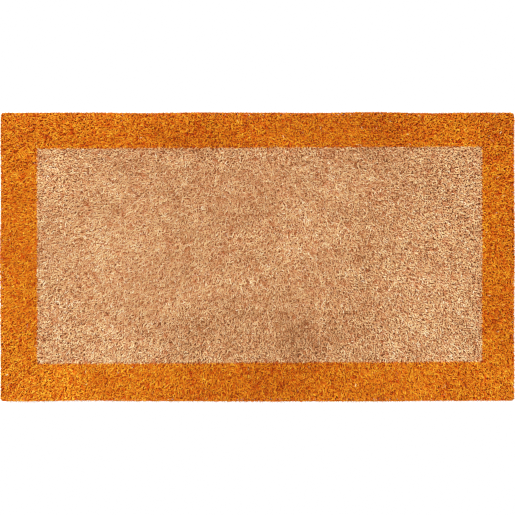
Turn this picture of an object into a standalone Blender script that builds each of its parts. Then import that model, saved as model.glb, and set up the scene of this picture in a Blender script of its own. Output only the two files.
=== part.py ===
"""Hand-woven coir door mat with a dyed border, in metres, +Z up.

X runs along the mat's length, Y across its width, and the origin is at the centre of its underside.
From the floor up, the mat is a woven base (lengthwise chain yarns and one weft yarn that runs
back and forth through them), a plaited braid sewn round the base's edge, and a brush pile of
coir fibre that stands on the base and hides the braid from above.
"""

import math

import bmesh
import bpy
from mathutils import Vector

# Overall size
MAT_LENGTH = 0.762
MAT_WIDTH = 0.428
MAT_HEIGHT = 0.025
CORNER_RADIUS = 0.006
GAP = 0.0003  # left between pieces that touch

# Woven base
CHAIN_COUNT = 16
CHAIN_RADIUS = 0.0012
WEFT_RADIUS = 0.0015
WEFT_PICKS = 44
YARN_CLEARANCE = 0.0004  # between a chain yarn and the weft that bends round it

# Braid round the edge, and the twine that sews it on
PILE_OVERHANG = 0.004  # how far the pile reaches past the braid on every side
BRAID_WIDTH = 0.012
BRAID_ROUNDING = 0.0025
TWINE_RADIUS = 0.0008

# Dyed border's width on each side; the dye is put on by hand, so no two are alike
BORDER_LEFT = 0.055
BORDER_RIGHT = 0.049
BORDER_FRONT = 0.058
BORDER_BACK = 0.052
PILE_SHOULDER = 0.004  # rounding of the pile's outer top edge

# Worked out from the above
WEFT_SWING = CHAIN_RADIUS + YARN_CLEARANCE + WEFT_RADIUS  # weft centre line above or below the chain yarns
WEAVE_MIDDLE = GAP + WEFT_RADIUS + WEFT_SWING
WEAVE_TOP = WEAVE_MIDDLE + WEFT_SWING + WEFT_RADIUS
PILE_BOTTOM = WEAVE_TOP + GAP
HALF_LENGTH = MAT_LENGTH / 2
HALF_WIDTH = MAT_WIDTH / 2
BRAID_OUTER_X = HALF_LENGTH - PILE_OVERHANG
BRAID_OUTER_Y = HALF_WIDTH - PILE_OVERHANG
BRAID_INNER_X = BRAID_OUTER_X - BRAID_WIDTH
BRAID_INNER_Y = BRAID_OUTER_Y - BRAID_WIDTH
SEAM_X = BRAID_INNER_X - GAP - TWINE_RADIUS  # centre line of the sewing twine
SEAM_Y = BRAID_INNER_Y - GAP - TWINE_RADIUS
WEAVE_END_X = SEAM_X - TWINE_RADIUS - GAP
WEAVE_END_Y = SEAM_Y - TWINE_RADIUS - GAP
OUTER_CHAIN_Y = WEAVE_END_Y - WEFT_RADIUS - WEFT_SWING
CHAIN_PITCH = 2 * OUTER_CHAIN_Y / (CHAIN_COUNT - 1)
PICK_PITCH = 2 * (WEAVE_END_X - WEFT_RADIUS - GAP) / (WEFT_PICKS - 1)


def remove_everything():
    for ob in list(bpy.data.objects):
        bpy.data.objects.remove(ob, do_unlink=True)


def make_material(name, colour, roughness):
    material = bpy.data.materials.new(name)
    material.use_nodes = True
    shader = material.node_tree.nodes["Principled BSDF"]
    shader.inputs["Base Color"].default_value = (*colour, 1.0)
    shader.inputs["Roughness"].default_value = roughness
    shader.inputs["Metallic"].default_value = 0.0
    material.diffuse_color = (*colour, 1.0)
    return material


def link(name, data, material):
    data.materials.append(material)
    ob = bpy.data.objects.new(name, data)
    bpy.context.collection.objects.link(ob)
    return ob


def make_yarn(name, points, radius, sides, material):
    """A round yarn along a line of points, closed at both ends."""
    curve = bpy.data.curves.new(name, "CURVE")
    curve.dimensions = "3D"
    curve.bevel_depth = radius
    curve.bevel_resolution = sides // 2 - 2
    curve.use_fill_caps = True
    spline = curve.splines.new("POLY")
    spline.points.add(len(points) - 1)
    for point, place in zip(spline.points, points):
        point.co = (*place, 1.0)
    return link(name, curve, material)


def chain_y(index):
    return -OUTER_CHAIN_Y + index * CHAIN_PITCH


def make_chain_yarns(material):
    """The stretched lengthwise yarns that everything else is woven and knotted round."""
    for index in range(CHAIN_COUNT):
        y = chain_y(index)
        ends = [(-WEAVE_END_X, y, WEAVE_MIDDLE), (WEAVE_END_X, y, WEAVE_MIDDLE)]
        make_yarn(f"chain_yarn_{index + 1:02d}", ends, CHAIN_RADIUS, 8, material)


def selvedge_turn(x_from, x_to, side, level):
    """Points that carry the weft round the outermost chain yarn to its next pick."""
    outer_y = side * OUTER_CHAIN_Y
    slant = WEFT_SWING * math.sqrt(0.5)
    reach = x_to - x_from
    return [
        (x_from + 0.10 * reach, outer_y + side * slant, WEAVE_MIDDLE + level * slant),
        (x_from + 0.25 * reach, outer_y + side * WEFT_SWING, WEAVE_MIDDLE),
        (x_to - 0.25 * reach, outer_y + side * WEFT_SWING, WEAVE_MIDDLE),
        (x_to - 0.10 * reach, outer_y + side * slant, WEAVE_MIDDLE - level * slant),
    ]


def weft_points():
    """One yarn, over one chain yarn and under the next, turning back at each selvedge."""
    points = []
    first_x = -PICK_PITCH * (WEFT_PICKS - 1) / 2
    for pick in range(WEFT_PICKS):
        x = first_x + pick * PICK_PITCH
        forward = pick % 2 == 0
        order = range(CHAIN_COUNT) if forward else reversed(range(CHAIN_COUNT))
        for index in order:
            level = 1 if (index + pick) % 2 == 0 else -1
            points.append((x, chain_y(index), WEAVE_MIDDLE + level * WEFT_SWING))
        if pick < WEFT_PICKS - 1:
            side = 1 if forward else -1
            points += selvedge_turn(x, x + PICK_PITCH, side, level)
    return points


def make_bar(name, size, centre, rounding, material):
    """A straight bar with rounded long edges, except along its flat underside."""
    bm = bmesh.new()
    bmesh.ops.create_cube(bm, size=1.0)
    bmesh.ops.scale(bm, vec=Vector(size), verts=bm.verts)
    bmesh.ops.translate(bm, vec=Vector(centre), verts=bm.verts)
    top = centre[2] + size[2] / 2
    along_x = size[0] > size[1]
    rounded = []
    for edge in bm.edges:
        run = edge.verts[1].co - edge.verts[0].co
        lengthwise = abs(run.x) > abs(run.y) if along_x else abs(run.y) > abs(run.x)
        if lengthwise and abs(run.z) < rounding and edge.verts[0].co.z > top - rounding:
            rounded.append(edge)
    bmesh.ops.bevel(bm, geom=rounded, offset=rounding, segments=3, profile=0.5, affect="EDGES")
    mesh = bpy.data.meshes.new(name)
    bm.to_mesh(mesh)
    bm.free()
    return link(name, mesh, material)


def make_edge_braids(material):
    """The plait round the base's edge, one length on each side of the mat."""
    centre_x = BRAID_OUTER_X - BRAID_WIDTH / 2
    centre_y = BRAID_OUTER_Y - BRAID_WIDTH / 2
    long_size = (2 * BRAID_OUTER_X, BRAID_WIDTH, WEAVE_TOP)
    short_size = (BRAID_WIDTH, 2 * (BRAID_INNER_Y - GAP), WEAVE_TOP)
    z = WEAVE_TOP / 2
    make_bar("edge_braid_front", long_size, (0, -centre_y, z), BRAID_ROUNDING, material)
    make_bar("edge_braid_back", long_size, (0, centre_y, z), BRAID_ROUNDING, material)
    make_bar("edge_braid_left", short_size, (-centre_x, 0, z), BRAID_ROUNDING, material)
    make_bar("edge_braid_right", short_size, (centre_x, 0, z), BRAID_ROUNDING, material)


def make_sewing_twine(material):
    """The twine of the seam between the braid and the woven base, one length on each side."""
    z = WEAVE_MIDDLE
    long_end = BRAID_INNER_X - GAP
    for name, y in (("front", -SEAM_Y), ("back", SEAM_Y)):
        ends = [(-long_end, y, z), (long_end, y, z)]
        make_yarn(f"sewing_twine_{name}", ends, TWINE_RADIUS, 6, material)
    for name, x in (("left", -SEAM_X), ("right", SEAM_X)):
        ends = [(x, -WEAVE_END_Y, z), (x, WEAVE_END_Y, z)]
        make_yarn(f"sewing_twine_{name}", ends, TWINE_RADIUS, 6, material)


def corner(centre_x, centre_y, start_angle, steps=5):
    """Points of a quarter circle, anticlockwise from the start angle in degrees."""
    angles = [math.radians(start_angle + 90 * step / steps) for step in range(steps + 1)]
    return [(centre_x + CORNER_RADIUS * math.cos(a), centre_y + CORNER_RADIUS * math.sin(a)) for a in angles]


def on_rim(place):
    """Whether a point lies on the outline of the whole mat, corners included."""
    past_x = max(0.0, abs(place.x) - (HALF_LENGTH - CORNER_RADIUS))
    past_y = max(0.0, abs(place.y) - (HALF_WIDTH - CORNER_RADIUS))
    return math.hypot(past_x, past_y) > CORNER_RADIUS - GAP / 2


def make_pile(name, outline, material):
    """A block of brush pile on an anticlockwise outline, rounded where it meets the mat's rim."""
    bm = bmesh.new()
    base = bm.faces.new([bm.verts.new((x, y, PILE_BOTTOM)) for x, y in outline])
    raised = bmesh.ops.extrude_face_region(bm, geom=[base])["geom"]
    top = [item for item in raised if isinstance(item, bmesh.types.BMVert)]
    bmesh.ops.translate(bm, vec=Vector((0, 0, MAT_HEIGHT - PILE_BOTTOM)), verts=top)
    bmesh.ops.recalc_face_normals(bm, faces=bm.faces)
    shoulder = [e for e in bm.edges if all(v in top and on_rim(v.co) for v in e.verts)]
    if shoulder:
        bmesh.ops.bevel(bm, geom=shoulder, offset=PILE_SHOULDER, segments=3, profile=0.5, affect="EDGES")
    mesh = bpy.data.meshes.new(name)
    bm.to_mesh(mesh)
    bm.free()
    return link(name, mesh, material)


def make_piles(natural, dyed):
    """The undyed field, and the dyed border in four blocks round it."""
    left = -HALF_LENGTH + BORDER_LEFT
    right = HALF_LENGTH - BORDER_RIGHT
    front = -HALF_WIDTH + BORDER_FRONT
    back = HALF_WIDTH - BORDER_BACK
    arc_x = HALF_LENGTH - CORNER_RADIUS
    arc_y = HALF_WIDTH - CORNER_RADIUS
    field = [(left, front), (right, front), (right, back), (left, back)]
    make_pile("pile_field", field, natural)
    front_block = corner(-arc_x, -arc_y, 180) + corner(arc_x, -arc_y, 270)
    front_block += [(HALF_LENGTH, front - GAP), (-HALF_LENGTH, front - GAP)]
    make_pile("pile_border_front", front_block, dyed)
    back_block = corner(arc_x, arc_y, 0) + corner(-arc_x, arc_y, 90)
    back_block += [(-HALF_LENGTH, back + GAP), (HALF_LENGTH, back + GAP)]
    make_pile("pile_border_back", back_block, dyed)
    left_block = [(-HALF_LENGTH, front), (left - GAP, front), (left - GAP, back), (-HALF_LENGTH, back)]
    make_pile("pile_border_left", left_block, dyed)
    right_block = [(right + GAP, front), (HALF_LENGTH, front), (HALF_LENGTH, back), (right + GAP, back)]
    make_pile("pile_border_right", right_block, dyed)


def main():
    remove_everything()
    chain = make_material("coir_chain", (0.34, 0.20, 0.095), 0.85)
    weft = make_material("coir_weft", (0.42, 0.25, 0.12), 0.88)
    braid = make_material("coir_braid", (0.40, 0.23, 0.105), 0.86)
    twine = make_material("sewing_twine", (0.30, 0.19, 0.10), 0.80)
    natural = make_material("coir_pile_natural", (0.60, 0.30, 0.135), 0.90)
    dyed = make_material("coir_pile_dyed", (0.60, 0.155, 0.012), 0.90)
    make_chain_yarns(chain)
    make_yarn("weft_yarn", weft_points(), WEFT_RADIUS, 6, weft)
    make_edge_braids(braid)
    make_sewing_twine(twine)
    make_piles(natural, dyed)


main()
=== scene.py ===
"""The looks of a hand-woven coir door mat with a dyed border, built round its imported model.

Metres, +Z up. The pile is real geometry: every strand is a closed, tapered, curled spike that stands
for a small bundle of coir fibres. The base is woven from coir yarns, with a three-strand plait sewn
round its edge by a spiral of twine.
"""

import math

import bpy
import numpy as np
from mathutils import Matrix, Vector


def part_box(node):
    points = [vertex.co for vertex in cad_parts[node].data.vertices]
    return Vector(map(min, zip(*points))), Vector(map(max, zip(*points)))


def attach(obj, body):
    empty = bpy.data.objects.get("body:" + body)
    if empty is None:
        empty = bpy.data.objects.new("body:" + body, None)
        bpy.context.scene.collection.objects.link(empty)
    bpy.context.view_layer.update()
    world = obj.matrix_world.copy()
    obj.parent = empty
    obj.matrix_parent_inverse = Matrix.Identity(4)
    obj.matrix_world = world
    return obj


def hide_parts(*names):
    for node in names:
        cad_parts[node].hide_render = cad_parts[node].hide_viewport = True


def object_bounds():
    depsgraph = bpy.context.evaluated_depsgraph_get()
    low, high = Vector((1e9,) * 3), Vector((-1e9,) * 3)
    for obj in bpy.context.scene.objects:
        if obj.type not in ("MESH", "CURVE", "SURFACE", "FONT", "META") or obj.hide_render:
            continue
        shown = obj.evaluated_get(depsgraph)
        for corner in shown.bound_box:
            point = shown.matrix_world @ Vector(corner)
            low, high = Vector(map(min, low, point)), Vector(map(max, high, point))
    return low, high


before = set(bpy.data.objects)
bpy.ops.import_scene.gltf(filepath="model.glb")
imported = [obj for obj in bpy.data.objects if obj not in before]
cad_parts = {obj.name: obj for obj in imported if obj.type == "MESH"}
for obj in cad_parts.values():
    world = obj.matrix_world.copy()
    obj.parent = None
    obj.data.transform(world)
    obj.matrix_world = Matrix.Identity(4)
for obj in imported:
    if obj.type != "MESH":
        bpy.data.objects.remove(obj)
CAD_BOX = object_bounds()

# ---------------------------------------------------------------- sizes read from the frame

HALF_LENGTH, HALF_WIDTH, PILE_TOP = CAD_BOX[1]
PILE_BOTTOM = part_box("pile_field")[0].z
CHAIN_NAMES = sorted(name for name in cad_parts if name.startswith("chain_yarn"))
SIDES = ("front", "right", "back", "left")

# ---------------------------------------------------------------- driving values

CORNER_RADIUS = 0.006  # of the pile's outline
OUTLINE_WANDER = 0.0009  # how far the outline wanders from straight
OUTLINE_WANDER_SIZE = 0.085

# Where the pile's strands stand, and how thick they are
STRAND_SPACING = 0.0018
ROW_SPACING = 0.92  # between rows, as a share of the spacing within a row
STRAND_JITTER = 0.55  # how far a strand may stand from its place in the rows, as a share of the spacing
STRAND_RADIUS = (0.00048, 0.00090)  # of a strand's thickest part
STRAND_TAPER = (0.9, 1.0, 0.85)  # shares of that radius from the root up; the tip is a point
STRANDS_PER_PIECE = 12000
TINT_SHAPE = (2.6, 2.6)  # of the beta distribution that the strands' tints come from

# How high the strands reach, and what shows between them
TIP_GAP = 0.0002  # from the pile's top to the tallest strands
TIP_SPREAD = 0.0006  # how unevenly the pile is shorn
TIP_SWELL = 0.0003  # how much the shorn top rises and falls
TIP_SWELL_SIZE = 0.012
PIT_DEPTH = 0.003
PIT_SIZE = 0.0026
PIT_LEVEL = 0.1  # how high the noise has to be where there is a pit
SHADED_DEPTH = (0.0050, 0.0008)  # below the pile's top: where the painted shade makes strands darkest, and where it starts
ROOTS_DEPTH = 0.0065  # from the pile's top down to its packed roots
ROOTS_INSET = 0.0035
ROOTS_STEP = 0.0026  # between the points of the roots' mesh
ROOTS_RISE = 0.0007  # how much their top rises and falls
ROOTS_RISE_SIZE = 0.006
ROOTS_SAG = 0.0008  # how far their underside reaches down into the weave
ROOTS_SAG_SIZE = 0.0045

# How the strands lie
CLUMP_SIZE = 0.005  # strands this near one another lie much the same way
CLUMP_SPREAD = 1.1
SPLAY = (0.35, 1.25)  # how much a strand leans
CURL = 0.8  # how much its upper part turns away from that lean
NAP = 1.1  # how much the fibres lean away from a place just behind the middle of the back edge
NAP_CENTRE = (0.0, 0.26)
NAP_ONSET = 0.15  # distance from that place at which the nap has half its strength
STRAND_LENGTHS = ((0.0030, 0.0044), (0.0018, 0.0030), (0.0014, 0.0028))  # of its three stretches, root to tip
MIDDLE_RISE = (0.35, 1.0)  # how steep the middle stretch is, where the lowest has 1
TIP_RISE = (0.0, 0.8)
ROOT_LEAN = 0.45  # how much of the lean the lowest stretch has
TIP_LEAN = 1.6  # how much of the curled lean the highest has
SIDE_LIFT = 0.02  # keeps the direction across a strand from vanishing

# The upright strands of the pile's side walls
RIM_SPACING = 0.0012
RIM_SHADE_LIMIT = 0.9  # how little painted shade darkens them lower down
RIM_LAYERS = (0.0006, 0.0018, 0.0032)  # distances inside the outline at which they are rooted
RIM_HEIGHTS = ((0.55, 1.0), (0.8, 1.0), (0.8, 1.0))  # in each layer, as shares of the whole height
RIM_LEVELS = (0.0, 0.36, 0.7, 1.0)  # heights of a strand's points, as shares of its own
RIM_SHORTFALL = 0.0006  # how much less high than the pile's thickness they are
RIM_ROOTING = 0.0004  # how far below the pile's underside they start
RIM_SWAY = 0.00144  # how much their tips stray along the edge
RIM_BULGE = 0.0005  # how much they stray outwards
RIM_LEAN = 0.7  # how much of the way to the outermost layer the tops of the others lean
RIM_ROUNDING = 0.0015  # how much lower the top is at the outline
RIM_ROUNDING_WIDTH = 0.006

# Corners of the undyed field: the stencil lay slightly askew on the mat
FIELD_CORNERS = {
    "front_left": (-0.3259, -0.1582),
    "front_right": (0.3321, -0.1548),
    "back_left": (-0.3259, 0.1600),
    "back_right": (0.3321, 0.1628),
}
STENCIL_BLEED = 0.0005  # how far dye strays over the stencil's edge
STENCIL_WAVER = 0.0004  # how much that edge wavers
STENCIL_WAVER_SIZE = 0.045
DYE_DEPTH = (0.0135, 0.0045)  # below the pile's top: where the dye runs out, and where it starts to thin

# Broad patches that are darker or paler than the rest: middle, half widths and how much they change shade
PATCHES = (
    (0.055, -0.120, 0.170, 0.055, -0.15),
    (-0.010, -0.205, 0.110, 0.040, -0.12),
    (-0.030, 0.170, 0.160, 0.060, -0.06),
    (0.320, 0.230, 0.150, 0.080, -0.06),
    (-0.370, 0.200, 0.040, 0.040, -0.10),
    (0.380, 0.050, 0.040, 0.120, -0.12),
    (0.160, 0.040, 0.160, 0.050, -0.04),
    (-0.230, -0.180, 0.120, 0.080, 0.14),
    (0.240, -0.120, 0.080, 0.090, 0.13),
    (-0.190, -0.060, 0.070, 0.040, 0.07),
    (-0.180, 0.060, 0.220, 0.090, 0.05),
)

# How shade varies besides: width of the areas, that width as a share of their length, strength and seed
FINE_SHADE = ((0.0065, 1.0, 0.11, 41), (0.014, 0.6, 0.06, 42))
BROAD_SHADE = ((0.035, 0.6, 0.08, 43), (0.09, 1.0, 0.06, 44))
SHADE_STRENGTH = 0.58  # how much brighter a shade of 1 makes a strand
SHADE_TINT = 0.60  # how much paler it makes the strand
PALE_TUFTS = 90
PALE_TUFT_RADIUS = 0.0022
TUFT_PALENESS = 0.5  # how much paler a strand in the middle of such a tuft is
STRAYED = 0.003  # share of the strands that the dye missed

# Woven base
PICKS = 226
WEFT_RADIUS = 0.0015
WEFT_STEPS = 8  # points from one chain yarn to the next
WEFT_FLATNESS = 0.6  # below 1, the weft runs flatter over the chain yarns and dives more steeply between them
CHAIN_RADIUS = 0.00125
CHAIN_STEP = 0.0014  # between the points along a chain yarn
CHAIN_PLY = 0.86  # its plies' mean radius, as a share of the yarn's
CHAIN_LOBE = 0.16  # how much its section swells and narrows round that mean
YARN_TWIST = 0.011  # length in which a two-ply yarn turns once

# Plait and twine
EDGE_CORNER_RADIUS = 0.012  # of the plait's centre line
PLAIT_STEP = 0.0016
PLAIT_PITCH = 0.026
PLAIT_STRAND_RADIUS = 0.0022
PLAIT_LOBE = 0.13
PLAIT_GAP = 0.0006  # from the plait's flat box to its yarns, above and below
TWINE_STEP = 0.0014
TWINE_PITCH = 0.022
TWINE_RADIUS = 0.0007
TWINE_TWIST = 0.006
TWINE_LOBE = 0.12
TWINE_SQUARENESS = 0.7  # below 1, a stitch turns more sharply at the plait's corners
TWINE_GAPS = (0.0002, 0.0001)  # from the plait's box to the stitches, outside and above or below
TWINE_GRIP = 0.0035  # how far inside the plait the stitches reach, round the ends of the weave

# Stray fibres, as counts for each metre of the edge, and their lengths
HAIR_RADIUS = 0.00013
HAIR_TAPER = (1.0, 0.9, 0.6)
HAIR_BEND = 0.35
PLAIT_HAIRS = 1500
PLAIT_HAIR_LENGTH = (0.003, 0.008)
PLAIT_HAIR_LEAN = (0.2, 0.9)  # how much they stick out, where 0 lies along the edge
PLAIT_HAIR_INSET = (0.0012, 0.0016)  # how deep in the plait they are rooted, at its sides and at its top
PLAIT_HAIR_RISE = 0.002  # how far they may reach above the plait
FUZZ_HAIRS = 3600
FUZZ_LENGTH = (0.0020, 0.0046)
FUZZ_LEAN = (0.7, 3.0)
FUZZ_GAPS = (0.003, 0.0006)  # from the pile's underside up to the lowest fuzz, and from its top down
FUZZ_INSET = 0.0016  # how far inside the outline the fuzz is rooted
FUZZ_SHADE = -0.7  # fibre ends at the side get less light than the pile's top, and look duller


# ---------------------------------------------------------------- noise and vectors

NOISE_CELLS = 255  # across a grid of noise, after which it repeats


def smooth_noise(x, y, cell, seed):
    """Smooth random values, about -1 to 1, that change over a distance of one cell."""
    grid = np.random.default_rng(seed).uniform(-1, 1, (NOISE_CELLS + 1, NOISE_CELLS + 1))
    middle = (NOISE_CELLS + 1) / 2
    u, v = np.asarray(x) / cell + middle, np.asarray(y) / cell + middle
    i, j = np.floor(u).astype(int), np.floor(v).astype(int)
    fu, fv = u - i, v - j
    fu, fv = fu * fu * (3 - 2 * fu), fv * fv * (3 - 2 * fv)
    i, j = i % NOISE_CELLS, j % NOISE_CELLS
    low = grid[i, j] * (1 - fu) + grid[i + 1, j] * fu
    high = grid[i, j + 1] * (1 - fu) + grid[i + 1, j + 1] * fu
    return low * (1 - fv) + high * fv


def unit(v):
    return v / np.linalg.norm(v, axis=-1, keepdims=True)


def tangents(path):
    """Directions along paths of points, whose second last axis runs along the path."""
    along = np.empty_like(path)
    along[..., 0, :] = path[..., 1, :] - path[..., 0, :]
    along[..., -1, :] = path[..., -1, :] - path[..., -2, :]
    along[..., 1:-1, :] = path[..., 2:, :] - path[..., :-2, :]
    return unit(along)


# ---------------------------------------------------------------- mesh making

def mesh_object(name, verts, loops, loop_starts, uv=None, attributes=None):
    """A smooth-shaded object from flat arrays of points, face corners and face starts."""
    me = bpy.data.meshes.new(name)
    me.vertices.add(len(verts))
    me.vertices.foreach_set("co", np.ascontiguousarray(verts, dtype=np.float32).ravel())
    me.loops.add(len(loops))
    me.loops.foreach_set("vertex_index", np.ascontiguousarray(loops, dtype=np.int32))
    me.polygons.add(len(loop_starts))
    me.polygons.foreach_set("loop_start", np.ascontiguousarray(loop_starts, dtype=np.int32))
    me.update(calc_edges=True)
    me.shade_smooth()
    if uv is not None:
        layer = me.uv_layers.new(name="OFBake")
        layer.data.foreach_set("uv", np.ascontiguousarray(uv, dtype=np.float32).ravel())
    for key, values in (attributes or {}).items():
        attribute = me.attributes.new(key, "FLOAT", "POINT")
        attribute.data.foreach_set("value", np.ascontiguousarray(values, dtype=np.float32))
    ob = bpy.data.objects.new(name, me)
    bpy.context.collection.objects.link(ob)
    return ob


def spike_template(rings, sides):
    """Face corners, face starts and UVs in a unit cell, of a spike with a capped root and a pointed tip."""
    corners, starts, uv = [], [], []
    top = rings * sides
    for ring in range(rings - 1):
        for k in range(sides):
            starts.append(len(corners))
            low, after = ring * sides, (k + 1) % sides
            corners += [low + k, low + after, low + sides + after, low + sides + k]
            square = ((k, ring), (k + 1, ring), (k + 1, ring + 1), (k, ring + 1))
            uv += [(u / sides, v / rings) for u, v in square]
    for k in range(sides):
        starts.append(len(corners))
        corners += [top - sides + k, top - sides + (k + 1) % sides, top]
        uv += [(k / sides, 1 - 1 / rings), ((k + 1) / sides, 1 - 1 / rings), ((k + 0.5) / sides, 1.0)]
    starts.append(len(corners))
    corners += list(range(sides - 1, -1, -1))
    uv += [(k / sides, 0.0) for k in range(sides)]
    return np.array(corners), np.array(starts), np.array(uv)


CELL_MARGIN = 0.12  # kept free round a spike's cell of the UV map


def spikes_object(name, path, radii, side, tint, shade, dye, bare):
    """One mesh of many spikes, from arrays with a row for each.

    path has rings + 1 points, radii a number for each ring and side a direction across the root. tint,
    shade and bare are one number each, dye one for each point. shade is how much brighter than usual a
    spike is, and bare, from 0 to 1, how little painted shade darkens it lower down. Each spike has a
    cell of the UV map.
    """
    count, levels = path.shape[:2]
    rings, sides = levels - 1, 3
    along = tangents(path)[:, :rings]
    across = side[:, None, :] - along * np.sum(side[:, None, :] * along, axis=2, keepdims=True)
    across = unit(across)
    other = np.cross(along, across)
    angles = 2 * np.pi * np.arange(sides) / sides
    spread = np.cos(angles)[:, None] * across[:, :, None, :] + np.sin(angles)[:, None] * other[:, :, None, :]
    shell = path[:, :rings, None, :] + radii[:, :, None, None] * spread
    verts = np.concatenate([shell.reshape(count, rings * sides, 3), path[:, -1:, :]], axis=1)
    per = rings * sides + 1
    corners, starts, cell_uv = spike_template(rings, sides)
    loops = (corners + per * np.arange(count)[:, None]).ravel()
    loop_starts = (starts + len(corners) * np.arange(count)[:, None]).ravel()
    grid = math.ceil(math.sqrt(count))
    cell = np.stack([np.arange(count) % grid, np.arange(count) // grid], axis=1)
    uv = (cell[:, None, :] + CELL_MARGIN + (1 - 2 * CELL_MARGIN) * cell_uv) / grid
    # height carries painted shade: 1 near the pile's top, less lower down where strands are darkened, never
    # below bare
    deep, shallow = SHADED_DEPTH
    height = np.clip((path[..., 2] - PILE_TOP + deep) / (deep - shallow), bare[:, None], 1)
    attributes = {"tint": np.repeat(tint, per), "shade": np.repeat(shade, per)}
    for key, values in (("height", height), ("dye", dye)):
        each = np.concatenate([np.repeat(values[:, :rings], sides, axis=1), values[:, rings:]], axis=1)
        attributes[key] = each.ravel()
    return mesh_object(name, verts.reshape(-1, 3), loops, loop_starts, uv.reshape(-1, 2), attributes)


GOLDEN_SHARE = 0.618  # spreads the yarns' tints evenly


def yarn_mesh(paths, radius, sides, twist=0.0, lobe=0.0, rings_per_row=160):
    """Points, faces, UVs and attributes of round or two-lobed tubes, closed at both ends."""
    verts, loops, starts, uvs, lengths, arounds, tints = [], [], [], [], [], [], []
    base = ring_total = 0
    rows = max(1, math.ceil(sum(len(p) for p in paths) / rings_per_row))
    row_cells = sides + 1
    for number, path in enumerate(paths):
        path = np.asarray(path, float)
        along = tangents(path)
        length = np.concatenate([[0], np.cumsum(np.linalg.norm(np.diff(path, axis=0), axis=1))])
        up = np.array([0, 0, 1.0]) if abs(along[0, 2]) < 0.9 else np.array([1.0, 0, 0])
        across = unit(np.cross(along, np.broadcast_to(up, along.shape)))
        other = np.cross(across, along)
        turn = 2 * np.pi * length / twist if twist else np.zeros(len(path))
        angle = 2 * np.pi * np.arange(sides) / sides
        section = radius * (1 + lobe * np.cos(2 * angle))
        whole = angle[None, :] + turn[:, None]
        ring = section[None, :, None] * (
            np.cos(whole)[:, :, None] * across[:, None, :] + np.sin(whole)[:, :, None] * other[:, None, :]
        )
        verts.append((path[:, None, :] + ring).reshape(-1, 3))
        i = np.arange(len(path) - 1)[:, None]
        k = np.arange(sides)[None, :]
        after = (k + 1) % sides
        ring_pair = (i * sides + k, (i + 1) * sides + k, (i + 1) * sides + after, i * sides + after)
        quads = np.stack(ring_pair, axis=-1)
        spot = ring_total + i
        u = (spot % rings_per_row) / rings_per_row
        du = 1 / rings_per_row
        v = (spot // rings_per_row + (k + 0.5) / row_cells) / rows
        dv = 1 / (row_cells * rows)
        u, v = np.broadcast_arrays(u, v)
        square = ((u, v), (u + du, v), (u + du, v + dv), (u, v + dv))
        uv = np.stack([np.stack(corner, axis=-1) for corner in square], axis=-2)
        caps = np.concatenate([np.arange(sides), (len(path) - 1) * sides + np.arange(sides)[::-1]])
        loops += [quads.reshape(-1) + base, caps + base]
        cap_uv = [0.5 / rings_per_row, 0.5 / (row_cells * rows)]
        uvs += [uv.reshape(-1, 2), np.tile([cap_uv], (2 * sides, 1))]
        starts += [np.full(quads.size // 4, 4), np.full(2, sides)]
        lengths.append(np.repeat(length, sides))
        arounds.append(np.tile(angle / (2 * np.pi), len(path)))
        tints.append(np.full(len(path) * sides, number * GOLDEN_SHARE % 1.0))
        base += len(path) * sides
        ring_total += len(path)
    sizes = np.concatenate(starts)
    attributes = {
        "along": np.concatenate(lengths),
        "around": np.concatenate(arounds),
        "tint": np.concatenate(tints),
    }
    faces = np.concatenate([[0], np.cumsum(sizes)[:-1]])
    return np.concatenate(verts), np.concatenate(loops), faces, np.concatenate(uvs), attributes


# ---------------------------------------------------------------- outlines

def outline_wander(x, y):
    """How far outside the rounded rectangle the outline is near a point."""
    return OUTLINE_WANDER * smooth_noise(x, y, OUTLINE_WANDER_SIZE, 5)


def outline_distance(x, y):
    """Distance inside the mat's outline, a rounded rectangle whose sides wander a little."""
    wander = outline_wander(x, y)
    qx = np.abs(x) - (HALF_LENGTH + wander - CORNER_RADIUS)
    qy = np.abs(y) - (HALF_WIDTH + wander - CORNER_RADIUS)
    outside = np.hypot(np.maximum(qx, 0), np.maximum(qy, 0)) + np.minimum(np.maximum(qx, qy), 0)
    return CORNER_RADIUS - outside


SHORN_INSET = (0.0002, 0.0012)  # how far inside the outline strands that would cross it are cut


def shorn_at_edge(points):
    """The same points, with those outside the outline brought back to just inside it."""
    half = np.array([HALF_LENGTH, HALF_WIDTH]) - CORNER_RADIUS
    beyond = np.abs(points) - half
    in_corner = np.all(beyond > 0, axis=-1, keepdims=True)
    nearest = (beyond == np.max(beyond, axis=-1, keepdims=True)).astype(float)
    outward = np.where(in_corner, unit(np.maximum(beyond, 1e-9)), nearest) * np.sign(points)
    depth = outline_distance(points[..., 0], points[..., 1]) - RNG.uniform(*SHORN_INSET, points.shape[:-1])
    return points + outward * np.minimum(depth, 0)[..., None]


def field_distance(x, y):
    """Distance inside the stencilled field, negative in the border."""
    c = FIELD_CORNERS
    along = (x - c["front_left"][0]) / (c["front_right"][0] - c["front_left"][0])
    front = c["front_left"][1] + along * (c["front_right"][1] - c["front_left"][1])
    back = c["back_left"][1] + along * (c["back_right"][1] - c["back_left"][1])
    wobble = STENCIL_WAVER * smooth_noise(x, y, STENCIL_WAVER_SIZE, 11)
    left, right = x - c["front_left"][0], c["front_right"][0] - x
    return np.minimum(np.minimum(left, right), np.minimum(y - front, back - y)) + wobble


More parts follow.
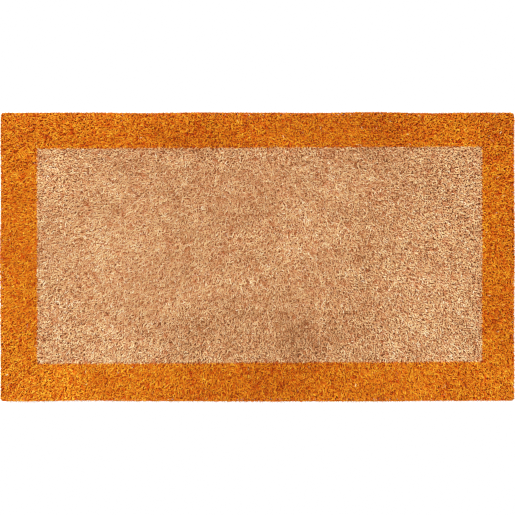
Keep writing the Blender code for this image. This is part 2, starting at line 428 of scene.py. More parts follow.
def rounded_loop(half_x, half_y, radius, step):
    """Points and outward directions anticlockwise round a rounded rectangle, from its front left corner."""
    points, outward = [], []
    corners = [(half_x, -half_y), (half_x, half_y), (-half_x, half_y), (-half_x, -half_y)]
    start = np.array([-half_x + radius, -half_y])
    for number, (cx, cy) in enumerate(corners):
        centre = np.array([cx - math.copysign(radius, cx), cy - math.copysign(radius, cy)])
        normal_angle = math.radians(-90 + 90 * number)
        normal = np.array([math.cos(normal_angle), math.sin(normal_angle)])
        end = centre + radius * normal
        count = max(2, round(np.linalg.norm(end - start) / step))
        for t in np.arange(count) / count:
            points.append(start + (end - start) * t)
            outward.append(normal)
        count = max(2, round(radius * math.pi / 2 / step))
        for t in np.arange(count) / count:
            a = normal_angle + t * math.pi / 2
            outward.append(np.array([math.cos(a), math.sin(a)]))
            points.append(centre + radius * outward[-1])
        turned = normal_angle + math.pi / 2
        start = centre + radius * np.array([math.cos(turned), math.sin(turned)])
    return np.array(points), np.array(outward)


def side_of(x, y):
    """Which side of the mat's edge a point is nearest to, as an index into SIDES."""
    gaps = np.stack([y + HALF_WIDTH, HALF_LENGTH - x, HALF_WIDTH - y, x + HALF_LENGTH])
    return np.argmin(gaps, axis=0)


# ---------------------------------------------------------------- the pile

RNG = np.random.default_rng(20)


def pile_places():
    """A jittered grid of strand places inside the outline."""
    nx = int(2 * HALF_LENGTH / STRAND_SPACING)
    ny = int(2 * HALF_WIDTH / (STRAND_SPACING * ROW_SPACING))
    x, y = np.meshgrid(np.linspace(-HALF_LENGTH, HALF_LENGTH, nx), np.linspace(-HALF_WIDTH, HALF_WIDTH, ny))
    x = x + (np.arange(ny) % 2)[:, None] * STRAND_SPACING / 2
    x, y = x.ravel(), y.ravel()
    x = x + RNG.uniform(-STRAND_JITTER, STRAND_JITTER, len(x)) * STRAND_SPACING
    y = y + RNG.uniform(-STRAND_JITTER, STRAND_JITTER, len(y)) * STRAND_SPACING
    keep = outline_distance(x, y) > RIM_LAYERS[0]
    return x[keep], y[keep]


def shade_at(x, y):
    """How much brighter or darker the pile is from place to place, from shearing, wear and uneven fibre."""
    fine, broad = (
        sum(strength * smooth_noise(x * share, y, width, seed) for width, share, strength, seed in layers)
        for layers in (FINE_SHADE, BROAD_SHADE)
    )
    for px, py, rx, ry, amount in PATCHES:
        broad = broad + amount * np.exp(-(((x - px) / rx) ** 2) - ((y - py) / ry) ** 2)
    return fine + broad


def paleness_at(x, y):
    """How much of a pale tuft there is: a few small bunches of strands are far paler than the rest."""
    pale = np.zeros(len(x))
    middles = RNG.uniform((-HALF_LENGTH, -HALF_WIDTH), (HALF_LENGTH, HALF_WIDTH), (PALE_TUFTS, 2))
    for px, py in middles:
        pale = pale + np.exp(-((x - px) ** 2 + (y - py) ** 2) / PALE_TUFT_RADIUS**2)
    return pale


def grow_top(x, y):
    """Paths and side directions of the curled strands whose middles are near x, y."""
    count = len(x)
    rim = np.clip(1 - outline_distance(x, y) / RIM_ROUNDING_WIDTH, 0, 1)
    tip_z = PILE_TOP - TIP_GAP - np.abs(RNG.normal(0, TIP_SPREAD, count))
    tip_z = tip_z - TIP_SWELL + TIP_SWELL * smooth_noise(x, y, TIP_SWELL_SIZE, 3) - RIM_ROUNDING * rim**2
    tip_z = tip_z - PIT_DEPTH * np.clip(smooth_noise(x, y, PIT_SIZE, 51) - PIT_LEVEL, 0, 1)
    azimuth = 2 * np.pi * smooth_noise(x, y, CLUMP_SIZE, 31) + RNG.normal(0, CLUMP_SPREAD, count)
    splay = RNG.uniform(*SPLAY, count)
    away = np.stack([x - NAP_CENTRE[0], y - NAP_CENTRE[1]], axis=1)
    nap = NAP * away / (np.linalg.norm(away, axis=1, keepdims=True) + NAP_ONSET)
    lean = np.stack([np.cos(azimuth), np.sin(azimuth)], axis=1) * splay[:, None] + nap
    turn = RNG.normal(0, CURL, count)
    c, s = np.cos(turn), np.sin(turn)
    curled = np.stack([c * lean[:, 0] - s * lean[:, 1], s * lean[:, 0] + c * lean[:, 1]], axis=1)
    rises = (np.ones(count), RNG.uniform(*MIDDLE_RISE, count), RNG.uniform(*TIP_RISE, count))
    flats = (lean * ROOT_LEAN, (lean + curled) / 2, curled * TIP_LEAN)
    steps = [np.zeros((count, 3))]
    for flat, rise, length in zip(flats, rises, STRAND_LENGTHS):
        steps.append(unit(np.column_stack([flat, rise])) * RNG.uniform(*length, count)[:, None])
    path = np.cumsum(np.stack(steps, axis=1), axis=1)
    path[:, :, 2] += (tip_z - path[:, :, 2].max(axis=1))[:, None]
    path[:, :, :2] += np.stack([x, y], axis=1)[:, None, :] - 0.5 * path[:, -1:, :2]
    path[:, :, :2] = shorn_at_edge(path[:, :, :2])
    side = np.column_stack([-lean[:, 1], lean[:, 0], np.full(count, SIDE_LIFT)])
    return path, side


def grow_rim():
    """Paths and side directions of the upright strands that make the pile's side walls."""
    paths, sides = [], []
    for depth, heights in zip(RIM_LAYERS, RIM_HEIGHTS):
        foot, out = rounded_loop(HALF_LENGTH, HALF_WIDTH, CORNER_RADIUS, RIM_SPACING)
        count = len(foot)
        along = np.column_stack([-out[:, 1], out[:, 0]])
        wander = outline_wander(foot[:, 0], foot[:, 1])
        foot = foot + along * RNG.uniform(-0.5, 0.5, count)[:, None] * RIM_SPACING
        foot = foot + out * (wander - depth)[:, None]
        height = (PILE_TOP - PILE_BOTTOM - RIM_SHORTFALL) * RNG.uniform(*heights, count)
        sway = RNG.normal(0, RIM_SWAY, (count, 3))
        bulge = RNG.normal(0, RIM_BULGE, (count, 3))
        levels = []
        for number, share in enumerate(RIM_LEVELS):
            drift = bulge[:, number - 1] * share + (depth - RIM_LAYERS[0]) * RIM_LEAN * share
            drift = out * drift[:, None] + along * (sway[:, number - 1] * share)[:, None]
            levels.append(np.column_stack([foot + drift, PILE_BOTTOM - RIM_ROOTING + height * share]))
        paths.append(np.stack(levels, axis=1))
        sides.append(np.column_stack([along, np.full(count, SIDE_LIFT)]))
    return np.concatenate(paths), np.concatenate(sides)


def thickness(count):
    """Radii at each ring of so many strands."""
    return RNG.uniform(*STRAND_RADIUS, count)[:, None] * np.array(STRAND_TAPER)


def split_strands(label, members, *strands):
    """Objects of at most STRANDS_PER_PIECE strands each, from the strands listed in members."""
    parts = np.array_split(members, math.ceil(len(members) / STRANDS_PER_PIECE))
    return [
        spikes_object(f"{label}_{number + 1}", *(values[part] for values in strands))
        for number, part in enumerate(parts)
    ]


def make_pile():
    """Every strand of the pile, in pieces by colour and side: (object, node, slot) for each."""
    x, y = pile_places()
    path, side = grow_top(x, y)
    rim_path, rim_side = grow_rim()
    # how little painted shade darkens each strand lower down: the rim's side walls get little of it
    bare = np.concatenate([np.zeros(len(x)), np.full(len(rim_path), RIM_SHADE_LIMIT)])
    x = np.concatenate([x, rim_path[:, 0, 0]])
    y = np.concatenate([y, rim_path[:, 0, 1]])
    path, side = np.concatenate([path, rim_path]), np.concatenate([side, rim_side])
    radii = thickness(len(x))
    shade = shade_at(x, y)
    tint = RNG.beta(*TINT_SHAPE, len(x)) + SHADE_TINT * shade + TUFT_PALENESS * paleness_at(x, y)
    tint = np.clip(tint, 0, 1)
    outside = RNG.normal(0, STENCIL_BLEED, len(x))[:, None] - field_distance(path[..., 0], path[..., 1])
    dye = np.clip(outside / STENCIL_BLEED + 0.5, 0, 1)
    dyed = dye[:, -2:].mean(axis=1) > 0.5
    dye[RNG.random(len(x)) < STRAYED] = 0
    natural = np.flatnonzero(~dyed)
    natural = natural[np.argsort(y[natural], kind="stable")]
    strands = (path, radii, side, tint, shade, dye, bare)
    pieces = [
        (ob, "pile_field", "coir_pile_natural")
        for ob in split_strands("pile_field_strands", natural, *strands)
    ]
    nearest = side_of(x, y)
    for number, name in enumerate(SIDES):
        members = np.flatnonzero(dyed & (nearest == number))
        members = members[np.argsort(x[members], kind="stable")]
        for ob in split_strands(f"pile_border_{name}_strands", members, *strands):
            pieces.append((ob, f"pile_border_{name}", "coir_pile_dyed"))
    return pieces


def make_roots():
    """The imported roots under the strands: one felted layer with a rough top, a little inside the outline."""
    nx, ny = int(2 * HALF_LENGTH / ROOTS_STEP), int(2 * HALF_WIDTH / ROOTS_STEP)
    gx = np.linspace(-HALF_LENGTH + ROOTS_INSET, HALF_LENGTH - ROOTS_INSET, nx)
    gy = np.linspace(-HALF_WIDTH + ROOTS_INSET, HALF_WIDTH - ROOTS_INSET, ny)
    x, y = np.meshgrid(gx, gy)
    top_z = PILE_TOP - ROOTS_DEPTH + ROOTS_RISE * smooth_noise(x, y, ROOTS_RISE_SIZE, 7)
    top = np.stack([x, y, top_z], axis=-1).reshape(-1, 3)
    bottom = top.copy()
    bottom[:, 2] = PILE_BOTTOM - ROOTS_SAG * np.abs(smooth_noise(x, y, ROOTS_SAG_SIZE, 8)).ravel()
    verts = np.concatenate([top, bottom])
    index = np.arange(nx * ny).reshape(ny, nx)
    quads = np.stack([index[:-1, :-1], index[:-1, 1:], index[1:, 1:], index[1:, :-1]], axis=-1).reshape(-1, 4)
    rim = np.concatenate([index[0, :-1], index[:-1, -1], index[-1, :0:-1], index[:0:-1, 0]])
    after = np.roll(rim, -1)
    walls = np.stack([rim + nx * ny, after + nx * ny, after, rim], axis=-1)
    faces = np.concatenate([quads, quads[:, ::-1] + nx * ny, walls])
    dye = (field_distance(verts[:, 0], verts[:, 1]) < 0).astype(float)
    return mesh_object("pile_roots", verts, faces.ravel(), 4 * np.arange(len(faces)), attributes={"dye": dye})


# ---------------------------------------------------------------- the woven base

def make_weft():
    """The weft at its real closeness: one yarn over and under the chain yarns, as a left and a right half."""
    low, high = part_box("weft_yarn")
    chain_ys = [sum(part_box(name)[i].y for i in (0, 1)) / 2 for name in CHAIN_NAMES]
    middle = sum(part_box(CHAIN_NAMES[0])[i].z for i in (0, 1)) / 2
    swing = high.z - WEFT_RADIUS - middle
    first, last = low.x + WEFT_RADIUS, high.x - WEFT_RADIUS
    pitch = (last - first) / (PICKS - 1)
    chain_pitch = chain_ys[1] - chain_ys[0]
    span = np.linspace(chain_ys[0], chain_ys[-1], (len(chain_ys) - 1) * WEFT_STEPS + 1)
    wave = np.cos(np.pi * (span - chain_ys[0]) / chain_pitch)
    wave = np.sign(wave) * np.abs(wave) ** WEFT_FLATNESS
    points = []
    for pick in range(PICKS):
        x = first + pick * pitch
        forward = pick % 2 == 0
        level = middle + swing * (wave if forward else -wave)
        run = np.column_stack([np.full(len(span), x), span, level])[:: 1 if forward else -1]
        points.append(run)
        if pick < PICKS - 1:
            end_y = run[-1, 1]
            out, up = math.copysign(1, end_y), math.copysign(1, run[-1, 2] - middle)
            for t in (0.25, 0.5, 0.75):
                y = end_y + out * swing * math.sin(math.pi * t)
                points.append([[x + pitch * t, y, middle + up * swing * math.cos(math.pi * t)]])
    whole = np.concatenate(points)
    half = len(whole) // 2
    pieces = []
    for name, path in (("weft_yarn_left", whole[: half + 1]), ("weft_yarn_right", whole[half:])):
        pieces.append(mesh_object(name, *yarn_mesh([path], WEFT_RADIUS, 6)))
    return pieces


def make_chain(name):
    """One lengthwise yarn of two plies twisted together."""
    low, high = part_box(name)
    y, z = (low.y + high.y) / 2, (low.z + high.z) / 2
    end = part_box("edge_braid_right")[0].x + PLAIT_STRAND_RADIUS
    x = np.linspace(-end, end, int(2 * end / CHAIN_STEP))
    path = np.column_stack([x, np.full(len(x), y), np.full(len(x), z)])
    mesh = yarn_mesh([path], CHAIN_RADIUS * CHAIN_PLY, 6, YARN_TWIST, CHAIN_LOBE)
    return mesh_object(f"{name}_twisted", *mesh)


# ---------------------------------------------------------------- the plait round the edge

def edge_centre_line(step):
    """The plait's centre line in points about step apart, with outward directions, height and width."""
    low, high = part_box("edge_braid_front")
    half_x = high.x - (high.y - low.y) / 2
    half_y = -(low.y + high.y) / 2
    line, out = rounded_loop(half_x, half_y, EDGE_CORNER_RADIUS, step)
    return line, out, high.z - low.z, high.y - low.y


def loop_length(loop):
    return np.sum(np.linalg.norm(np.roll(loop, -1, axis=0) - loop, axis=1))


def split_by_side(loop, values):
    """Runs of a closed loop's values, one for each side of the mat, each reaching just into the next."""
    nearest = side_of(loop[:, 0], loop[:, 1])
    runs = {}
    for number, name in enumerate(SIDES):
        members = np.flatnonzero(nearest == number)
        gaps = np.flatnonzero(np.diff(members) > 1)
        if len(gaps):
            members = np.concatenate([members[gaps[0] + 1:], members[: gaps[0] + 1]])
        runs[name] = values[np.append(members, (members[-1] + 1) % len(values))]
    return runs


def make_plait():
    """Three coir yarns plaited flat, round the whole base, in one piece for each side."""
    line, out, height, width = edge_centre_line(PLAIT_STEP)
    length = np.arange(len(line)) / len(line)
    turns = round(loop_length(line) / PLAIT_PITCH)
    sideways = width / 2 - PLAIT_STRAND_RADIUS
    upward = height / 2 - PLAIT_STRAND_RADIUS - PLAIT_GAP
    strands = []
    for strand in range(3):
        phase = 2 * np.pi * (turns * length + strand / 3)
        offset = sideways * np.sin(phase)
        lift = height / 2 + upward * np.sin(2 * phase)
        strands.append(np.column_stack([line + out * offset[:, None], lift]))
    pieces = []
    for name in SIDES:
        paths = [split_by_side(line, strand)[name] for strand in strands]
        mesh = yarn_mesh(paths, PLAIT_STRAND_RADIUS, 8, YARN_TWIST, PLAIT_LOBE)
        pieces.append((mesh_object(f"edge_plait_{name}", *mesh), f"edge_braid_{name}"))
    return pieces


def make_stitches():
    """The sewing twine, a spiral round the plait and through the base's edge."""
    line, out, height, width = edge_centre_line(TWINE_STEP)
    length = np.arange(len(line)) / len(line)
    phase = 2 * np.pi * round(loop_length(line) / TWINE_PITCH) * length
    across, up = np.cos(phase), np.sin(phase)
    reach = np.where(across > 0, width / 2 - TWINE_GAPS[0], width / 2 + TWINE_GRIP)
    offset = reach * np.sign(across) * np.abs(across) ** TWINE_SQUARENESS
    rise = height / 2 - TWINE_RADIUS - TWINE_GAPS[1]
    lift = height / 2 + rise * np.sign(up) * np.abs(up) ** TWINE_SQUARENESS
    spiral = np.column_stack([line + out * offset[:, None], lift])
    pieces = []
    for name, path in split_by_side(line, spiral).items():
        mesh = yarn_mesh([path], TWINE_RADIUS, 6, TWINE_TWIST, TWINE_LOBE)
        pieces.append((mesh_object(f"edge_stitches_{name}", *mesh), f"sewing_twine_{name}"))
    return pieces


def hair_pieces(label, root, along, away, length, lean, ceiling, shade=0.0, dye=0.0):
    """Stray fibres, one piece for each side: (object, side) for each. lean is how much they follow away."""
    count = len(root)
    lean = RNG.uniform(*lean, count)[:, None]
    direction = unit(along * RNG.choice([-1, 1], count)[:, None] + away * lean)
    bend = RNG.normal(0, HAIR_BEND, (count, 3))
    reach = RNG.uniform(*length, count)[:, None] / 3
    path = [root + direction * reach * k + bend * reach * k * k / 6 for k in range(4)]
    path = np.stack(path, axis=1)
    path[..., 2] = np.clip(path[..., 2], 2 * HAIR_RADIUS, ceiling)
    radii = np.full((count, 3), HAIR_RADIUS) * np.array(HAIR_TAPER)
    tint = RNG.uniform(0, 1, count)
    strands = (path, radii, away, tint, np.full(count, shade), np.full((count, 4), dye), np.ones(count))
    nearest = side_of(root[:, 0], root[:, 1])
    pieces = []
    for number, name in enumerate(SIDES):
        own = np.flatnonzero(nearest == number)
        pieces.append((spikes_object(f"{label}_{name}", *(values[own] for values in strands)), name))
    return pieces


def scattered(loop, out, per_metre):
    """Places picked at random round a closed loop, with directions outwards and along the edge."""
    count = int(per_metre * loop_length(loop))
    spot = RNG.integers(0, len(loop), count)
    outward = np.column_stack([out[spot], np.zeros(count)])
    along = np.column_stack([-out[spot, 1], out[spot, 0], np.zeros(count)])
    return loop[spot], outward, along


def make_plait_hairs():
    """Stray fibres that stick out all round the plait."""
    line, out, height, width = edge_centre_line(PLAIT_STEP)
    spots, outward, along = scattered(line, out, PLAIT_HAIRS)
    around = RNG.uniform(0, 2 * np.pi, len(spots))
    away = np.cos(around)[:, None] * outward + np.sin(around)[:, None] * np.array([0, 0, 1.0])
    root = np.column_stack([spots, np.full(len(spots), height / 2)])
    root = root + np.cos(around)[:, None] * outward * (width / 2 - PLAIT_HAIR_INSET[0])
    root[:, 2] += np.sin(around) * (height / 2 - PLAIT_HAIR_INSET[1])
    ceiling = height + PLAIT_HAIR_RISE
    return hair_pieces("edge_plait_fibres", root, along, away, PLAIT_HAIR_LENGTH, PLAIT_HAIR_LEAN, ceiling)


def make_fuzz():
    """Fibre ends that stick out of the pile's side walls and soften the mat's outline."""
    line, out = rounded_loop(HALF_LENGTH, HALF_WIDTH, CORNER_RADIUS, RIM_SPACING)
    spots, away, along = scattered(line, out, FUZZ_HAIRS)
    wander = outline_wander(spots[:, 0], spots[:, 1])
    height = RNG.uniform(PILE_BOTTOM + FUZZ_GAPS[0], PILE_TOP - FUZZ_GAPS[1], len(spots))
    root = np.column_stack([spots, height]) + away * (wander - FUZZ_INSET)[:, None]
    return hair_pieces("pile_fuzz", root, along, away, FUZZ_LENGTH, FUZZ_LEAN, PILE_TOP, FUZZ_SHADE, dye=1.0)


# ---------------------------------------------------------------- materials

class Nodes:
    """A material's node tree, with short ways to add and link nodes."""

    def __init__(self, name):
        self.material = bpy.data.materials.new(name)
        self.material.use_nodes = True
        self.tree = self.material.node_tree
        self.shader = self.tree.nodes["Principled BSDF"]

    def add(self, kind, values=None, **settings):
        node = self.tree.nodes.new(f"ShaderNode{kind}")
        for key, value in settings.items():
            setattr(node, key, value)
        for key, value in (values or {}).items():
            if isinstance(value, bpy.types.NodeSocket):
                self.tree.links.new(value, node.inputs[key])
            else:
                node.inputs[key].default_value = value
        return node

    def attribute(self, name):
        return self.add("Attribute", attribute_name=name).outputs["Fac"]

    def math(self, operation, a, b=0.0, c=0.0):
        return self.add("Math", {0: a, 1: b, 2: c}, operation=operation).outputs[0]

    def noise(self, vector, scale, detail=2.0):
        return self.add("TexNoise", {"Vector": vector, "Scale": scale, "Detail": detail}).outputs["Fac"]

    def ramp(self, factor, stops):
        node = self.add("ValToRGB", {"Fac": factor})
        elements = node.color_ramp.elements
        while len(elements) < len(stops):
            elements.new(0.5)
        for element, (place, colour) in zip(elements, stops):
            element.position = place
            element.color = (*colour, 1.0)
        return node.outputs["Color"]

    def mix(self, factor, a, b, blend="MIX"):
        node = self.add("Mix", data_type="RGBA", blend_type=blend)
        for key, value in ((0, factor), (6, a), (7, b)):
            if isinstance(value, bpy.types.NodeSocket):
                self.tree.links.new(value, node.inputs[key])
            else:
                node.inputs[key].default_value = value
        return node.outputs[2]

    def remap(self, value, low, high, new_low, new_high):
        keys = {"Value": value, "From Min": low, "From Max": high, "To Min": new_low, "To Max": new_high}
        return self.add("MapRange", keys).outputs["Result"]

    def link(self, output, key):
        self.tree.links.new(output, self.shader.inputs[key])


# Colours of the pile's fibres, from their darkest tint to their palest
NATURAL_STOPS = [
    (0.0, (0.42, 0.184, 0.064)),
    (0.3, (0.55, 0.296, 0.124)),
    (0.7, (0.66, 0.440, 0.226)),
    (1.0, (0.70, 0.575, 0.395)),
]
DYED_STOPS = [
    (0.0, (0.38, 0.072, 0.002)),
    (0.3, (0.52, 0.142, 0.004)),
    (0.7, (0.64, 0.262, 0.010)),
    (1.0, (0.68, 0.390, 0.036)),
]
BARE_STOPS = [  # the lower part of the rim's fibres, which neither dye nor bleaching reached
    (0.0, (0.15, 0.070, 0.018)),
    (0.5, (0.30, 0.165, 0.055)),
    (1.0, (0.50, 0.320, 0.135)),
]

# What the colours are multiplied by at a strand's darkest depth: painted shade, deeper and redder where less
# light reaches it
NATURAL_DEPTH_SHADE = (0.70, 0.25, 0.11)
DYED_DEPTH_SHADE = (0.90, 0.155, 0.08)

STRAND_GRAIN = 0.30  # how much the tint varies along a strand
STRAND_GRAIN_SCALE = 700.0
STRAND_GLOSS = 0.08
DYE_RAGGEDNESS = 0.004  # how much the depth that the dye reached varies
DYE_RAGGEDNESS_SCALE = 120.0


def strand_colour(n, grain, stops, deep):
    """A strand's own tint and brightness, with painted shade that makes it deeper and redder lower in the
    pile.
    """
    # painted shade: lower parts of a strand are multiplied towards the deep colour
    painted_depth_shade = n.mix(n.attribute("height"), (*deep, 1.0), (1.0, 1.0, 1.0, 1.0))
    brightness = n.math("MULTIPLY_ADD", n.attribute("shade"), SHADE_STRENGTH, 1.0)
    return n.mix(1.0, n.mix(1.0, n.ramp(grain, stops), painted_depth_shade, "MULTIPLY"), brightness, "MULTIPLY")


def pile_fibre(name):
    """Coir fibre, dyed where its dye attribute says. The dye came from above, and thins out lower down."""
    n = Nodes(name)
    coords = n.add("TexCoord").outputs["Object"]
    tint = n.math("SUBTRACT", n.attribute("tint"), STRAND_GRAIN / 2)
    grain = n.math("MULTIPLY_ADD", n.noise(coords, STRAND_GRAIN_SCALE), STRAND_GRAIN, tint)
    natural = strand_colour(n, grain, NATURAL_STOPS, NATURAL_DEPTH_SHADE)
    dyed = strand_colour(n, grain, DYED_STOPS, DYED_DEPTH_SHADE)
    bare = n.ramp(grain, BARE_STOPS)
    ragged = n.noise(coords, DYE_RAGGEDNESS_SCALE)
    level = n.math("MULTIPLY_ADD", ragged, DYE_RAGGEDNESS, n.add("SeparateXYZ", {0: coords}).outputs["Z"])
    reach = n.remap(level, PILE_TOP - DYE_DEPTH[0], PILE_TOP - DYE_DEPTH[1], 0.1, 1.0)
    n.link(n.mix(n.attribute("dye"), natural, n.mix(reach, bare, dyed)), "Base Color")
    n.link(n.remap(grain, 0.0, 1.0, 0.75, 0.52), "Roughness")
    n.shader.inputs["Specular IOR Level"].default_value = STRAND_GLOSS
    return n.material


ROOTS_GRAIN = (0.3, 0.7)  # the noise's usual range
# Between the strands the roots are much darker than the fibre itself: painted shade of the pile's deep gaps
ROOTS_NATURAL_SHADED = ((0.14, 0.034, 0.007), (0.32, 0.100, 0.024))
ROOTS_DYED_SHADED = ((0.19, 0.018, 0.001), (0.42, 0.058, 0.002))
ROOTS_UNDER = ((0.09, 0.045, 0.018), (0.25, 0.140, 0.062))
ROOTS_UNDER_DEPTH = 0.006  # how far up the underside's colour fades out


def packed_roots():
    """Felted fibre, dyed or not, darkened between the strands with painted shade of the deep gaps, and plain
    brown on the side towards the weave.
    """
    n = Nodes("coir_roots")
    coords = n.add("TexCoord").outputs["Object"]
    grain = n.noise(coords, 500.0, 4.0)
    natural, dyed, under = (
        n.ramp(grain, list(zip(ROOTS_GRAIN, tones))) for tones in (ROOTS_NATURAL_SHADED, ROOTS_DYED_SHADED, ROOTS_UNDER)
    )
    level = n.add("SeparateXYZ", {0: coords}).outputs["Z"]
    height = n.remap(level, PILE_BOTTOM, PILE_BOTTOM + ROOTS_UNDER_DEPTH, 0.0, 1.0)
    n.link(n.mix(height, under, n.mix(n.attribute("dye"), natural, dyed)), "Base Color")
    n.link(n.remap(grain, *ROOTS_GRAIN, 0.95, 0.75), "Roughness")
    bump = n.add("Bump", {"Height": grain, "Strength": 0.6, "Distance": 0.001})
    n.link(bump.outputs["Normal"], "Normal")
    return n.material


YARN_TONES = {
    "coir_chain": ((0.10, 0.045, 0.015), (0.27, 0.14, 0.055), (0.50, 0.31, 0.15)),
    "coir_weft": ((0.13, 0.055, 0.018), (0.36, 0.18, 0.070), (0.62, 0.38, 0.18)),
    "coir_braid": ((0.11, 0.048, 0.016), (0.33, 0.17, 0.065), (0.60, 0.38, 0.19)),
    "sewing_twine": ((0.12, 0.075, 0.035), (0.29, 0.19, 0.10), (0.48, 0.35, 0.21)),
}
YARN_TONE_PLACES = (0.30, 0.50, 0.70)
FIBRE_TURNS = 60.0  # of the yarn's fibres, for each metre
PLY_TURNS = 90.0  # of the plies of a yarn whose mesh is plainly round
STREAK_WIDTH = 2.4  # radius at which the noise is read round a yarn; a larger one makes finer streaks
STREAK_LENGTH = 110.0  # how fast it changes along the yarn; a smaller one makes longer streaks


def coir_yarn(slot, ply_turns=0.0):
    """Yarn spun from coir: streaks of single fibres in a slow spiral, and a groove between two plies, bumped
    and darkened with painted shade.

    Yarn whose mesh already has its plies' shape has no ply_turns, and needs no painted groove.
    """
    n = Nodes(f"{slot}_fibre")
    along, around, tint = n.attribute("along"), n.attribute("around"), n.attribute("tint")
    angle = n.math("MULTIPLY", n.math("MULTIPLY_ADD", along, FIBRE_TURNS, around), 2 * math.pi)
    x = n.math("MULTIPLY", n.math("COSINE", angle), STREAK_WIDTH)
    y = n.math("MULTIPLY", n.math("SINE", angle), STREAK_WIDTH)
    z = n.math("MULTIPLY_ADD", along, STREAK_LENGTH, n.math("MULTIPLY", tint, 37.0))
    streak = n.noise(n.add("CombineXYZ", {0: x, 1: y, 2: z}).outputs[0], 1.3, 4.0)
    if ply_turns:
        turned = n.math("MULTIPLY", n.math("MULTIPLY_ADD", along, ply_turns, around), 2 * math.pi)
        # painted shade: the groove between the plies is darkened in colour, besides its bump
        painted_groove_shade = n.remap(n.math("ABSOLUTE", n.math("SINE", turned)), 0.0, 0.6, -0.22, 0.04)
        streak = n.math("ADD", painted_groove_shade, streak)
    coords = n.add("TexCoord").outputs["Object"]
    shade = n.math("MULTIPLY_ADD", n.math("SUBTRACT", n.noise(coords, 30.0), 0.5), 0.5, streak)
    n.link(n.ramp(shade, list(zip(YARN_TONE_PLACES, YARN_TONES[slot]))), "Base Color")
    n.link(n.remap(streak, 0.3, 0.7, 0.9, 0.65), "Roughness")
    bump = n.add("Bump", {"Height": streak, "Strength": 0.8, "Distance": 0.0008})
    n.link(bump.outputs["Normal"], "Normal")
    n.shader.inputs["Specular IOR Level"].default_value = 0.2
    return n.material


# ---------------------------------------------------------------- putting it together

def add_piece(ob, material, slot, *nodes):
    """Give a piece its material, and let it stand for the named nodes. slot is not used."""
    ob.data.materials.append(material)
    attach(ob, "root")
    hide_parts(*nodes)


pile_fibres = {slot: pile_fibre(f"{slot}_fibre") for slot in ("coir_pile_natural", "coir_pile_dyed")}
yarn_fibres = {slot: coir_yarn(slot, PLY_TURNS if slot == "coir_weft" else 0.0) for slot in YARN_TONES}

for strands, node, slot_name in make_pile():
    add_piece(strands, pile_fibres[slot_name], slot_name, node)
weave = make_weft()
for weft in weave:
    add_piece(weft, yarn_fibres["coir_weft"], "coir_weft", "weft_yarn")
for chain_name in CHAIN_NAMES:
    add_piece(make_chain(chain_name), yarn_fibres["coir_chain"], "coir_chain", chain_name)
for plait, node in make_plait():
    add_piece(plait, yarn_fibres["coir_braid"], "coir_braid", node)
for hairs, side_name in make_plait_hairs():
    add_piece(hairs, pile_fibres["coir_pile_natural"], "coir_braid", f"edge_braid_{side_name}")
for fuzz, side_name in make_fuzz():
    add_piece(fuzz, pile_fibres["coir_pile_dyed"], "coir_pile_dyed", f"pile_border_{side_name}")
for stitches, node in make_stitches():
    add_piece(stitches, yarn_fibres["sewing_twine"], "sewing_twine", node)

roots = make_roots()
border_nodes = [f"pile_border_{name}" for name in SIDES]
add_piece(roots, packed_roots(), "coir_pile_natural", "pile_field", *border_nodes)


# ---------------------------------------------------------------- stage, lights and camera

FLOOR_HALF = 6.0
FLOOR_GAP = 0.0004  # from the mat's underside to the floor, so that they don't touch
FLOOR_COLOUR = (0.92, 0.92, 0.92, 1.0)
CAMERA_HEIGHT = 1.75
CAMERA_FORWARD = 0.0009  # how far in front of the mat's middle the camera stands
VIEW_WIDTH = 0.7608  # across the frame, at the pile's top
SENSOR_WIDTH = 36.0

# Light in and brightness out: straight at first, then a soft shoulder up to white
TONE_CURVE = (
    (0.0, 0.0),
    (0.3, 0.3),
    (0.6, 0.6),
    (0.7, 0.685),
    (0.8, 0.755),
    (0.9, 0.815),
    (1.0, 0.875),
    (1.15, 1.0),
    (3.0, 1.0),
)
COMBINED_CURVE = 3  # its index, after those of red, green and blue


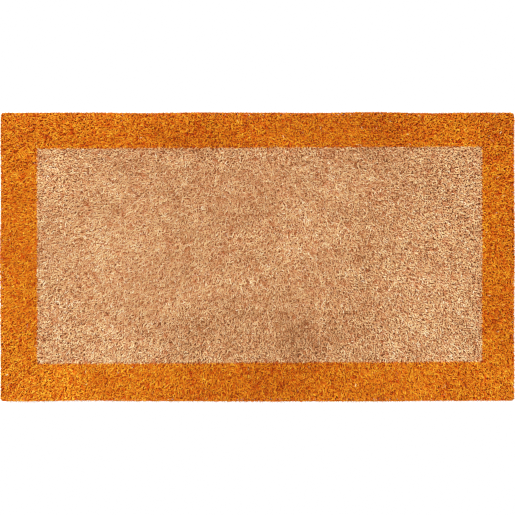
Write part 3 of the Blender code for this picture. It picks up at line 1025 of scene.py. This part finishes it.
def make_floor():
    me = bpy.data.meshes.new("floor")
    signs = ((-1, -1), (1, -1), (1, 1), (-1, 1))
    corners = [(sx * FLOOR_HALF, sy * FLOOR_HALF, -FLOOR_GAP) for sx, sy in signs]
    me.from_pydata(corners, [], [(0, 1, 2, 3)])
    floor = bpy.data.objects.new("floor", me)
    bpy.context.collection.objects.link(floor)
    n = Nodes("floor")
    n.shader.inputs["Base Color"].default_value = FLOOR_COLOUR
    n.shader.inputs["Roughness"].default_value = 0.8
    me.materials.append(n.material)


def area_light(name, place, size, power):
    """A square lamp that shines at the mat's middle."""
    data = bpy.data.lights.new(name, "AREA")
    data.shape = "SQUARE"
    data.size = size
    data.energy = power
    lamp = bpy.data.objects.new(name, data)
    bpy.context.collection.objects.link(lamp)
    lamp.location = place
    lamp.rotation_euler = (-Vector(place)).to_track_quat("-Z", "Y").to_euler()


def make_world(strength):
    """Even white light from all round."""
    world = bpy.data.worlds.new("studio")
    bpy.context.scene.world = world
    world.use_nodes = True
    background = world.node_tree.nodes["Background"]
    background.inputs["Color"].default_value = (1.0, 1.0, 1.0, 1.0)
    background.inputs["Strength"].default_value = strength


def make_camera():
    """Straight above the mat, looking down."""
    data = bpy.data.cameras.new("camera")
    data.sensor_width = SENSOR_WIDTH
    data.lens = data.sensor_width * (CAMERA_HEIGHT - PILE_TOP) / VIEW_WIDTH
    camera = bpy.data.objects.new("camera", data)
    bpy.context.collection.objects.link(camera)
    camera.location = (0.0, -CAMERA_FORWARD, CAMERA_HEIGHT)
    bpy.context.scene.camera = camera


def set_tone(points):
    """The standard view through a tone curve: lit fibres keep their colour, and the floor is still white."""
    view = bpy.context.scene.view_settings
    view.view_transform = "Standard"
    view.use_curve_mapping = True
    mapping = view.curve_mapping
    mapping.clip_max_x = points[-1][0]
    curve = mapping.curves[COMBINED_CURVE]
    curve.points[0].location = points[0]
    curve.points[1].location = points[-1]
    for point in points[1:-1]:
        curve.points.new(*point)
    for point in curve.points:
        point.handle_type = "VECTOR"
    mapping.update()


make_floor()
area_light("key", place=(-1.5, 1.7, 1.9), size=1.2, power=130)
area_light("fill", place=(1.8, -1.4, 2.4), size=1.8, power=95)
make_world(strength=1.15)
make_camera()
set_tone(TONE_CURVE)
bpy.context.scene.cycles.filter_width = 1.25
bpy.context.scene.cycles.denoising_prefilter = "NONE"  # keeps single fibres sharp
